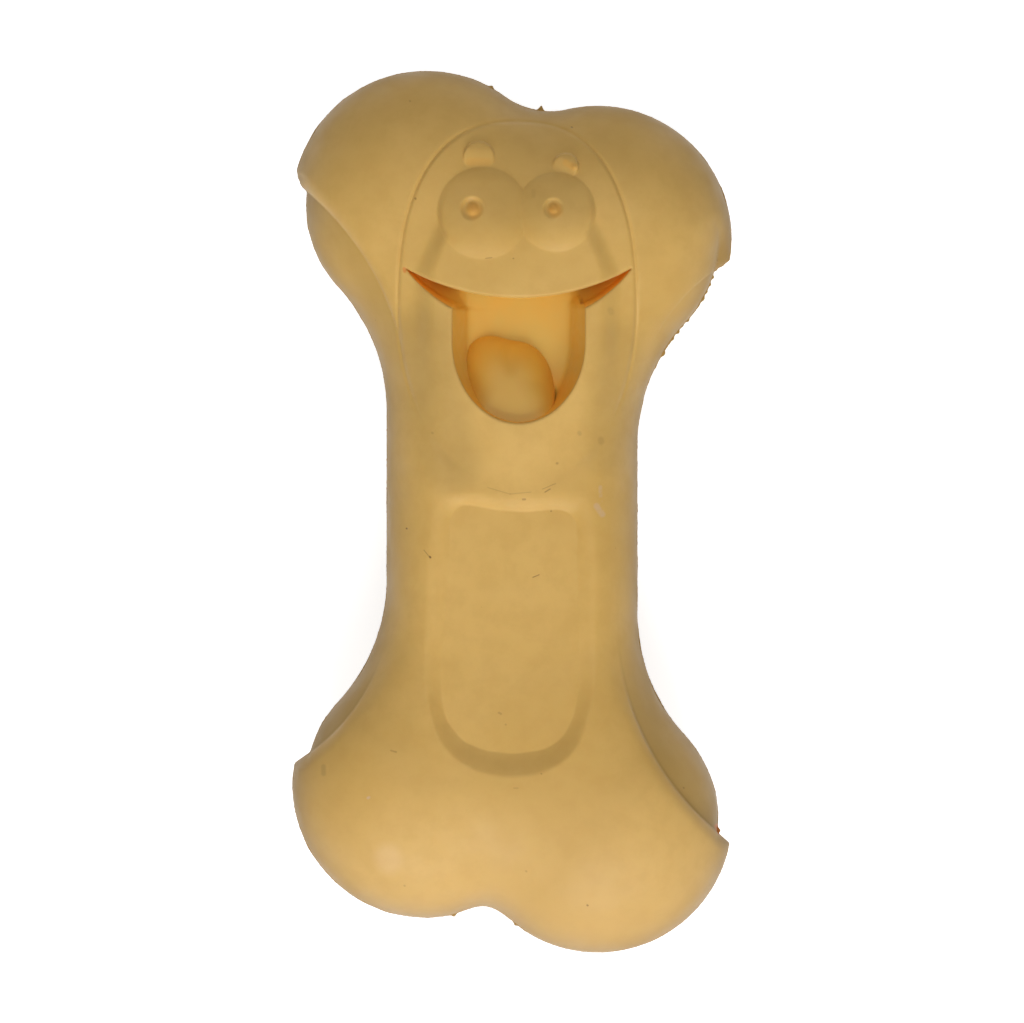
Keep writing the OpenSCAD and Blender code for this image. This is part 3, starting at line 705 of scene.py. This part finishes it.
def back_skin():
    """The back, which is flat but for its rolled edge and the sunk hole for the squeaker"""
    rim = spaced(BONE, MEDIUM)
    hole = arc((0, 0), HOLE_R, 0, 360, 1, MEDIUM)
    lined = rows(rim, ROLL_STEPS)
    fillet = rows(hole, (0.08, 0.2, 0.35, 0.55))

    def inside(p):
        return (depth_in(p, rim) > 0.3) & (np.hypot(*p.T) > HOLE_R + 0.3)

    even = grid(((-36, -71), (36, 71)), COARSE, np.concatenate([lined, fillet, rim[0], hole[0]]), inside)
    places, faces = triangulate([rim[0], hole[0]], np.concatenate([lined, fillet, even]))
    centres = places[faces].mean(1)
    faces = faces[enclosed(centres, rim[0]) & (np.hypot(*centres.T) > HOLE_R * 0.9999)]
    depth = depth_in(places, BONE)
    depth[: len(rim[0])] = 0
    run = mixed(SHAFT_ROLL, LOBE_R * BACK_ROLL_SHARE, lobeness(places[:, 1]))
    t = np.clip(depth / run, 0, 1)
    z = BACK_DEPTH * (1 - np.sqrt(1 - (1 - t) ** 2))
    z[: len(rim[0])] = BACK_DEPTH
    s = np.clip(1 - (np.hypot(*places.T) - HOLE_R) / HOLE_FILLET, 0, 1)
    z = z + HOLE_FILLET * (1 - np.sqrt(1 - s**2))
    start = len(places)
    wall, wall_faces = strip(with_level(hole[0], HOLE_FILLET), with_level(hole[0], HOLE_DEPTH))
    points = np.concatenate([with_level(places, z), wall])
    tris = [tuple(f)[::-1] for f in faces] + [tuple(i + start for i in f)[::-1] for f in wall_faces]
    return mesh_object("back_skin", points, tris)


# Nubs of flash on the parting line, as pixels, and the torn stretch beside the right hood
NUBS = [(491, 87, 0.35), (541, 107, 0.8), (454, 914, 0.4), (520, 918, 0.3), (718, 830, 0.5)]
TORN_FROM, TORN_TO = at(713, 271), at(658, 350)
NUB_R, TORN_R, FLASH_STEP = 0.38, 2.2, 0.16


def flash(rim):
    """The thin fin of rubber that the mould's parting leaves all round"""
    p, n = spaced(rim, FLASH_STEP)
    along = np.arange(len(p)) * FLASH_STEP
    width = 0.05 + 0.07 * np.clip(wave(along, 0 * along, 5, 21), 0, 1)
    width = width + 0.04 * np.clip(wave(along, 0 * along, 1.1, 22), 0, 1)
    for u, v, high in NUBS:
        far = np.hypot(*(p - at(u, v)).T)
        far = np.hypot(*(p - p[far.argmin()]).T)
        width = width + high * np.exp(-((far / NUB_R) ** 2))
    axis = TORN_TO - TORN_FROM
    share = ((p - TORN_FROM) @ axis) / (axis @ axis)
    off = np.hypot(*(p - TORN_FROM - np.clip(share, 0, 1)[:, None] * axis).T)
    torn = np.exp(-((off / TORN_R) ** 2))
    width = width + torn * (0.12 + 0.3 * np.clip(wave(along, 0 * along, 1.3, 23), -0.2, 1))
    inner = p + n * 0.25
    outer = p - n * width[:, None]
    top, points, tris = with_level(inner, BACK_DEPTH + 0.16), [], []
    lines = [top, with_level(outer, BACK_DEPTH + 0.03), with_level(inner, BACK_DEPTH - 0.12)]
    for a, b in zip(lines, lines[1:]):
        band, band_faces = strip(a, b)
        tris += [tuple(i + 2 * len(p) * len(points) for i in f)[::-1] for f in band_faces]
        points.append(band)
    return mesh_object("parting_flash", np.concatenate(points), tris)


class Nodes:
    """Short calls that add nodes to one material"""

    def __init__(self, name):
        self.material = bpy.data.materials.new(name)
        self.material.use_nodes = True
        self.tree = self.material.node_tree
        self.shader = self.tree.nodes["Principled BSDF"]
        self.place = self.add("ShaderNodeTexCoord").outputs["Object"]

    def add(self, kind, **settings):
        node = self.tree.nodes.new(kind)
        for key, value in settings.items():
            setattr(node, key, value)
        return node

    def put(self, socket, value):
        if isinstance(value, bpy.types.NodeSocket):
            self.tree.links.new(value, socket)
        else:
            socket.default_value = value

    def set(self, name, value):
        """Gives one of the shader's inputs a plain value, or what drives it"""
        self.put(self.shader.inputs[name], value)

    def math(self, kind, a, b=0.0, clamp=False):
        node = self.add("ShaderNodeMath", operation=kind, use_clamp=clamp)
        self.put(node.inputs[0], a)
        self.put(node.inputs[1], b)
        return node.outputs[0]

    def vector(self, kind, a, b=(0, 0, 0), value="Vector"):
        node = self.add("ShaderNodeVectorMath", operation=kind)
        self.put(node.inputs[0], a)
        self.put(node.inputs[1], b)
        return node.outputs[value]

    def noise(self, size, detail, rough=0.5, shift=0.0):
        """Noise from 0 to 1 that changes over about size millimetres"""
        moved = self.vector("ADD", self.place, (shift, shift * 0.7, -shift))
        node = self.add("ShaderNodeTexNoise")
        self.put(node.inputs["Vector"], moved)
        node.inputs["Scale"].default_value = 1 / (size * MM)
        node.inputs["Detail"].default_value = detail
        node.inputs["Roughness"].default_value = rough
        return node.outputs["Fac"]

    def range(self, value, low, high, to_low=0.0, to_high=1.0):
        node = self.add("ShaderNodeMapRange", interpolation_type="SMOOTHSTEP")
        for k, v in enumerate((value, low, high, to_low, to_high)):
            self.put(node.inputs[k], v)
        return node.outputs[0]

    def mix(self, share, a, b):
        node = self.add("ShaderNodeMix", data_type="RGBA")
        self.put(node.inputs["Factor"], share)
        self.put(node.inputs[6], a)
        self.put(node.inputs[7], b)
        return node.outputs[2]

    def axis(self, name):
        node = self.add("ShaderNodeSeparateXYZ")
        self.put(node.inputs[0], self.place)
        return node.outputs[name]

    def near_line(self, start, end, width):
        """1 on a line between two pixels of the photograph, and 0 from its width on"""
        a = np.append(at(*start) * MM, 0)
        b = np.append(at(*end) * MM, 0)
        span = b - a
        flat = self.vector("MULTIPLY", self.place, (1, 1, 0))
        away = self.vector("SUBTRACT", flat, tuple(a))
        share = self.vector("DOT_PRODUCT", away, tuple(span / max(span @ span, 1e-12)), "Value")
        share = self.math("ADD", share, 0.0, clamp=True)
        node = self.add("ShaderNodeVectorMath", operation="SCALE")
        node.inputs[0].default_value = tuple(span)
        self.put(node.inputs["Scale"], share)
        rest = self.vector("SUBTRACT", away, node.outputs[0])
        far = self.vector("LENGTH", rest, value="Value")
        return self.range(far, width * PIXEL * MM, width * PIXEL * MM * 0.3)

    def over_circle(self, centre, r):
        """How far a place lies inside a circle, seen from above, in metres"""
        flat = self.vector("MULTIPLY", self.place, (1, 1, 0))
        away = self.vector("SUBTRACT", flat, (centre[0] * MM, centre[1] * MM, 0))
        return self.math("SUBTRACT", r * MM, self.vector("LENGTH", away, value="Value"))

    def bump(self, height, strength, distance, normal=None):
        node = self.add("ShaderNodeBump")
        node.inputs["Strength"].default_value = strength
        node.inputs["Distance"].default_value = distance * MM
        self.put(node.inputs["Height"], height)
        if normal is not None:
            self.put(node.inputs["Normal"], normal)
        return node.outputs[0]


def shade(value):
    """A colour of the photograph, from 0 to 255, as linear light"""
    c = np.array(value) / 255
    linear = np.where(c > 0.04045, ((c + 0.055) / 1.055) ** 2.4, c / 12.92)
    return (*linear, 1)


# Marks on the front: the two ends of each in pixels, its half width, its colour and its strength. Most are
# the rubber's own marks; a few are painted shade or a painted highlight, and MOSS is used for both
DARK, PALE, AMBER = shade((112, 78, 38)), shade((205, 180, 165)), shade((205, 120, 45))
PAINTED_HIGHLIGHT, MOSS, HONEY = shade((232, 198, 155)), shade((150, 120, 62)), shade((222, 160, 66))
MARKS = [
    ((488, 487.5), (510, 494), 0.8, DARK, 0.2), ((510, 494), (531, 492), 0.8, DARK, 0.2),
    ((545, 492), (550, 489), 0.9, DARK, 0.5), ((542.5, 489), (555.5, 483.5), 0.7, DARK, 0.3),
    ((523, 499.3), (525, 499.3), 1.6, DARK, 0.45), ((550.8, 511), (551.3, 511), 1.2, DARK, 0.4),
    ((556.8, 463.4), (557.3, 463.4), 1.8, DARK, 0.35), ((406.8, 528.4), (407.1, 528.5), 1.2, DARK, 0.8),
    ((430, 556.5), (430.6, 557.3), 1.4, DARK, 0.9), ((424.2, 550), (429.5, 556.5), 0.8, MOSS, 0.6),
    ((533, 577), (539, 574.5), 0.8, DARK, 0.55), ((499, 712), (501, 713), 1.6, DARK, 0.3),
    ((505.5, 723.6), (506, 723.8), 1.3, DARK, 0.25), ((391.5, 749.5), (396.5, 751), 1.4, DARK, 0.3),
    ((514, 787), (518, 787), 1.0, DARK, 0.2), ((404.6, 884.6), (405, 885), 1.4, DARK, 0.25),
    ((526, 870), (526.4, 870.4), 1.4, DARK, 0.25), ((587, 904), (587.5, 904.3), 1.3, DARK, 0.6),
    ((541, 772.6), (541.5, 772.8), 1.1, DARK, 0.35), ((683, 787), (683.5, 787.5), 1.1, DARK, 0.4),
    ((571.3, 127.8), (572, 128.3), 1.2, DARK, 0.5), ((415.5, 199.4), (416, 199.8), 1.4, DARK, 0.5),
    ((533.5, 192), (533.5, 197), 3.0, MOSS, 0.12), ((486, 259.3), (492, 258.5), 0.9, DARK, 0.35),
    ((513.3, 259.3), (513.7, 259.5), 1.1, DARK, 0.4), ((410, 102), (410.4, 102.3), 1.2, DARK, 0.3),
    ((324, 766), (324, 773), 3.6, MOSS, 0.35), ((432.4, 433), (433, 433.4), 1.8, MOSS, 0.35),
    ((610, 311), (611, 313), 4.5, MOSS, 0.2), ((600.6, 440), (601, 442), 4.5, MOSS, 0.25),
    ((579, 433), (579.5, 434), 3.0, MOSS, 0.3), ((404.6, 269.5), (405.2, 272), 2.6, AMBER, 0.7),
    ((474.2, 211.5), (474.6, 212), 11.0, HONEY, 0.75), ((554.6, 211), (555, 211.5), 10.0, HONEY, 0.75),
    ((470, 163), (488, 163), 6.0, HONEY, 0.3), ((566, 164), (574, 168), 5.0, HONEY, 0.4),
    # Painted shade: two wide bands on the face's sides, which slope away from the light
    ((424, 335), (450, 462), 44.0, MOSS, 0.3), ((618, 345), (606, 450), 36.0, MOSS, 0.2),
    # Painted shadow under the lip of the hood at the bottom right
    ((717, 826), (720, 832), 4.0, AMBER, 0.9),
    ((600, 487), (600.5, 502), 2.6, PALE, 0.3), ((596.5, 506), (602, 514), 4.5, PALE, 0.35),
    # The first of these is a painted highlight: a soft pale spot on the lower left lobe
    ((388, 856), (389, 860), 19.0, PAINTED_HIGHLIGHT, 0.22), ((368.5, 797), (369.5, 796.5), 2.0, PALE, 0.5),
]
# Creases painted with shade: which one, and how dark its line and the flank beside it are, where the flank
# lies lower and in shade
SHADED_CREASES = [(0, 0.1, 0.3), (1, 0.2, 0.45), (2, 0.3, 0.4)]
# Where the film with its painted shade and the foot's painted light start and are full, and how much of
# each tone shows
FILM_AND_SHADE_Z, FOOT_LIGHT_Y = (29 * MM, 18 * MM), (-34 * MM, -62 * MM)
FLECK_SHARE, FILM_AND_SHADE_SHARE, FOOT_LIGHT_SHARE, SPECK_SHARE = 0.35, 0.85, 0.08, 0.6
SPECK_GAP = 5.5


def with_crease_shade(n, colour, front):
    """The colour with painted shade along the deepest creases and on the lower flanks beside them"""
    along = n.range(n.math("ABSOLUTE", n.axis("Y")), 18 * MM, 34 * MM)
    for k, line, flank in SHADED_CREASES:
        cx, cy, r = CREASES[k]
        past = n.over_circle((cx, cy), r)
        edge = n.range(n.math("ABSOLUTE", n.math("SUBTRACT", past, 0.15 * MM)), 0.4 * MM, 0.1 * MM)
        beside = n.math("MULTIPLY", n.range(past, 0.0, 0.3 * MM), n.range(past, 5 * MM, 1.5 * MM))
        for mask, strength in ((edge, line), (beside, flank)):
            mask = n.math("MULTIPLY", n.math("MULTIPLY", mask, front), along)
            colour = n.mix(n.math("MULTIPLY", mask, strength), colour, MOSS)
    return colour


def with_specks(n, colour):
    """The colour with rare dark specks, and where they are"""
    cells = n.add("ShaderNodeTexVoronoi", feature="F1")
    n.put(cells.inputs["Vector"], n.place)
    cells.inputs["Scale"].default_value = 1 / (SPECK_GAP * MM)
    dot = n.range(cells.outputs["Distance"], 0.035, 0.015)
    rare = n.range(n.noise(7, 1, 0.5, 0.4), 0.55, 0.6)
    specks = n.math("MULTIPLY", dot, rare)
    return n.mix(n.math("MULTIPLY", specks, SPECK_SHARE), colour, DARK), specks


def with_marks(n, colour, dents, front):
    """The colour with the marks of the photograph, a few of them painted shade or a painted highlight, and
    the dents with those of the dark marks
    """
    patchy = n.range(n.noise(1.3, 3, 0.6, 0.5), 0.3, 0.6)
    for start, end, width, tone, strength in MARKS:
        mask = n.math("MULTIPLY", n.near_line(start, end, width), front)
        mask = n.math("MULTIPLY", mask, patchy) if tone == PALE else mask
        colour = n.mix(n.math("MULTIPLY", mask, strength), colour, tone)
        if tone == DARK:
            dents = n.math("MAXIMUM", dents, n.math("MULTIPLY", mask, strength))
    return colour, dents


def rubber(name, tones, film_and_shade_tone):
    """Moulded natural rubber: clouded colour, a darker film on its sides that is partly painted shade, a
    foot painted paler as if lit, painted shade along the creases, specks, marks and a fine skin
    """
    n = Nodes(name)
    cloud = n.range(n.noise(26, 2, 0.5), 0.35, 0.65)
    fleck = n.range(n.noise(3.2, 4, 0.62, 0.031), 0.35, 0.7)
    colour = n.mix(cloud, tones[0], tones[1])
    colour = n.mix(n.math("MULTIPLY", fleck, FLECK_SHARE), colour, tones[2])
    # Darker towards the parting plane: partly the film that handling leaves, partly painted shade on the
    # sides that roll away from the light
    side = n.range(n.axis("Z"), *FILM_AND_SHADE_Z)
    colour = n.mix(n.math("MULTIPLY", side, FILM_AND_SHADE_SHARE), colour, film_and_shade_tone)
    # Painted light: the foot's end paler, as the light falls from that side
    foot = n.range(n.axis("Y"), *FOOT_LIGHT_Y)
    colour = n.mix(n.math("MULTIPLY", foot, FOOT_LIGHT_SHARE), colour, PALE)
    # The painted crease shade and the marks lie on the front only
    front = n.range(n.axis("Z"), 16.8 * MM, 17 * MM)
    colour = with_crease_shade(n, colour, front)
    colour, dents = with_specks(n, colour)
    colour, dents = with_marks(n, colour, dents, front)
    n.set("Base Color", colour)
    n.set("Roughness", n.range(n.noise(9, 4, 0.6, 0.2), 0.3, 0.7, 0.5, 0.66))
    n.set("Specular IOR Level", 0.35)
    n.set("Sheen Weight", 0.05)
    n.set("Sheen Roughness", 0.5)
    n.set("Subsurface Weight", 0.12)
    n.set("Subsurface Radius", (1.0, 0.5, 0.2))
    n.set("Subsurface Scale", 1.6 * MM)
    skin = n.bump(n.noise(0.5, 3, 0.6, 0.7), 0.25, 0.03)
    skin = n.bump(n.noise(2.6, 2, 0.5, 0.9), 0.5, 0.05, skin)
    skin = n.bump(n.math("SUBTRACT", 1.0, dents), 0.6, 0.12, skin)
    n.set("Normal", skin)
    return n.material


def amber_rubber(name, floor_tone, shaded_deep_tone):
    """The smooth bare rubber inside the mouth, painted with shade: deeper in colour towards its corners and
    the jaw's low end
    """
    n = Nodes(name)
    cloud = n.range(n.noise(7, 3, 0.5), 0.3, 0.7)
    sides = n.math("ABSOLUTE", n.math("SUBTRACT", n.axis("X"), MOUTH_X * MM))
    # Painted shade: the corners and the low end of the jaw take the deeper tone
    corner = n.range(sides, 7 * MM, 16 * MM)
    low = n.range(n.axis("Y"), 24 * MM, 17 * MM)
    colour = n.mix(n.math("MAXIMUM", corner, n.math("MULTIPLY", low, 0.8)), floor_tone, shaded_deep_tone)
    colour = n.mix(n.math("MULTIPLY", cloud, 0.25), colour, shaded_deep_tone)
    n.set("Base Color", colour)
    n.set("Roughness", n.range(n.noise(2, 3, 0.5), 0.3, 0.7, 0.42, 0.55))
    n.set("Specular IOR Level", 0.2)
    n.set("Subsurface Weight", 0.1)
    n.set("Subsurface Radius", (1.0, 0.6, 0.25))
    n.set("Subsurface Scale", 1.5 * MM)
    n.set("Normal", n.bump(n.noise(1.2, 3, 0.5, 0.3), 0.3, 0.04))
    return n.material


def tongue_rubber(name, lit_crown_tone, shaded_back_tone):
    """Painted light and shade: cream on the lit crown, and amber round the back and sides, which lie lower
    and in shade
    """
    n = Nodes(name)
    away = n.vector("SUBTRACT", n.place, (TONGUE_MIDDLE[0] * MM, (TONGUE_MIDDLE[1] - 3) * MM, 31 * MM))
    away = n.vector("MULTIPLY", away, (1, 0.85, 1.3))
    far = n.vector("LENGTH", away, value="Value")
    far = n.math("ADD", far, n.math("MULTIPLY", n.noise(4, 2), 1.5 * MM))
    # Painted light and shade: the lit tone near the crown, the shaded tone further out
    colour = n.mix(n.range(far, 3.5 * MM, 9.5 * MM), lit_crown_tone, shaded_back_tone)
    n.set("Base Color", colour)
    n.set("Roughness", 0.55)
    n.set("Subsurface Weight", 0.2)
    n.set("Subsurface Radius", (1.0, 0.4, 0.12))
    n.set("Subsurface Scale", 1.6 * MM)
    n.set("Normal", n.bump(n.noise(0.9, 3, 0.55), 0.3, 0.04))
    return n.material


def plastic(name, tone):
    n = Nodes(name)
    colour = n.mix(n.range(n.noise(4, 3), 0.3, 0.7), tone, tuple(0.88 * c for c in tone[:3]) + (1,))
    n.set("Base Color", colour)
    n.set("Roughness", n.range(n.noise(1.5, 3), 0.3, 0.7, 0.38, 0.5))
    n.set("Subsurface Weight", 0.15)
    n.set("Subsurface Scale", 1 * MM)
    n.set("Normal", n.bump(n.noise(0.4, 2), 0.2, 0.02))
    return n.material


def spring_strip(name):
    n = Nodes(name)
    n.set("Metallic", 1.0)
    colour = n.mix(n.noise(1, 4), shade((205, 203, 196)), shade((168, 165, 158)))
    n.set("Base Color", colour)
    n.set("Roughness", n.range(n.noise(0.3, 2), 0.3, 0.7, 0.25, 0.4))
    return n.material


def floor_white(name):
    """A pale floor that the camera sees as white, with the toy's shadow kept faint"""
    n = Nodes(name)
    n.set("Base Color", (0.8, 0.8, 0.8, 1))
    n.set("Roughness", 0.9)
    n.set("Specular IOR Level", 0.0)
    path = n.add("ShaderNodeLightPath")
    seen = n.math("MAXIMUM", path.outputs["Is Camera Ray"], path.outputs["Is Glossy Ray"])
    seen = n.math("MAXIMUM", seen, path.outputs["Is Transmission Ray"])
    n.set("Emission Color", (1, 1, 1, 1))
    n.set("Emission Strength", n.math("MULTIPLY", seen, 0.72))
    return n.material


def white_room(name, strength):
    """An even white light all round, which the camera sees as a white backdrop"""
    world = bpy.data.worlds.new(name)
    world.use_nodes = True
    tree = world.node_tree
    path = tree.nodes.new("ShaderNodeLightPath")
    seen = path.outputs["Is Camera Ray"]
    for ray in ("Is Glossy Ray", "Is Transmission Ray"):
        either = tree.nodes.new("ShaderNodeMath")
        either.operation = "MAXIMUM"
        tree.links.new(seen, either.inputs[0])
        tree.links.new(path.outputs[ray], either.inputs[1])
        seen = either.outputs[0]
    level = tree.nodes.new("ShaderNodeMapRange")
    level.inputs["To Min"].default_value = strength
    level.inputs["To Max"].default_value = 1.0
    tree.links.new(seen, level.inputs["Value"])
    background = tree.nodes["Background"]
    background.inputs["Color"].default_value = (1, 1, 1, 1)
    tree.links.new(level.outputs["Result"], background.inputs["Strength"])
    return world


def dress(obj, material):
    obj.data.materials.clear()
    obj.data.materials.append(material)


def rectangle_light(name, energy, size, place):
    """A soft light at a place in metres that points at the toy"""
    light = bpy.data.lights.new(name, "AREA")
    light.energy, light.size = energy, size
    obj = bpy.data.objects.new(name, light)
    bpy.context.scene.collection.objects.link(obj)
    obj.location = place
    gap = np.array(LAMP_AIM) - np.array(place)
    obj.rotation_euler = (np.arctan2(np.hypot(gap[0], gap[1]), -gap[2]), 0, np.arctan2(-gap[0], gap[1]))


def photo_camera():
    """A view straight down from far above, in which the parting plane has the photograph's scale"""
    camera = bpy.data.objects.new("camera", bpy.data.cameras.new("camera"))
    bpy.context.scene.collection.objects.link(camera)
    middle = at(PHOTO_W / 2, PHOTO_H / 2) * MM
    camera.location = (*middle, CAMERA_HEIGHT)
    far = CAMERA_HEIGHT - BACK_DEPTH * MM
    camera.data.lens = camera.data.sensor_width * far / (PHOTO_W * PIXEL * MM)
    camera.data.clip_end = 2 * CAMERA_HEIGHT
    bpy.context.scene.camera = camera


def studio():
    """Soft light from the foot's side and from over the head, a white room and a white floor"""
    rectangle_light("key", 7.0, 0.55, (0.03, -0.75, 0.62))
    rectangle_light("top", 3.9, 0.9, (0.02, 0.45, 1.1))
    bpy.context.scene.world = white_room("room", ROOM_LIGHT)
    bpy.context.scene.view_settings.view_transform = "Standard"
    half = FLOOR_W / 2
    corners = [(-half, -half, 0), (half, -half, 0), (half, half, 0), (-half, half, 0)]
    floor = mesh_object("floor", corners, [(0, 1, 2, 3)], smooth_shade=False)
    dress(floor, floor_white("floor_white"))


# The cream rubber's colour holds painted shade on its sides and creases, painted light on the foot and a
# painted highlight, besides its wear and specks
cream = rubber("cream_rubber_worn_and_shaded", [shade((214, 173, 95)), shade((206, 165, 87)), shade((198, 155, 78))],
               shade((156, 121, 58)))
amber = amber_rubber("amber_rubber_smooth", shade((222, 188, 98)), shade((244, 174, 58)))
front, rim, rim_z = front_shell()
pieces = [
    (front, "front_shell", "cream_rubber", cream),
    (mouth_pocket(rim_z), "mouth_cup", "amber_rubber", amber),
    (tongue_pad(), "tongue", "tongue_rubber",
     tongue_rubber("tongue_rubber_lit_and_shaded", shade((211, 166, 74)), shade((225, 172, 66)))),
    (back_skin(), "back_shell", "cream_rubber", cream),
    (flash(rim), None, "cream_rubber", cream),
]
for obj, node, slot, material in pieces:
    dress(obj, material)
    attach(obj, "root")
    if node:
        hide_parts(node)

squeaker = plastic("squeaker_plastic_milky", shade((226, 222, 210)))
for node in ("squeaker_body", "reed_seat", "reed_clamp"):
    dress(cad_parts[node], squeaker)
dress(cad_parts["squeaker_reed"], spring_strip("reed_steel_strip"))

studio()
photo_camera()
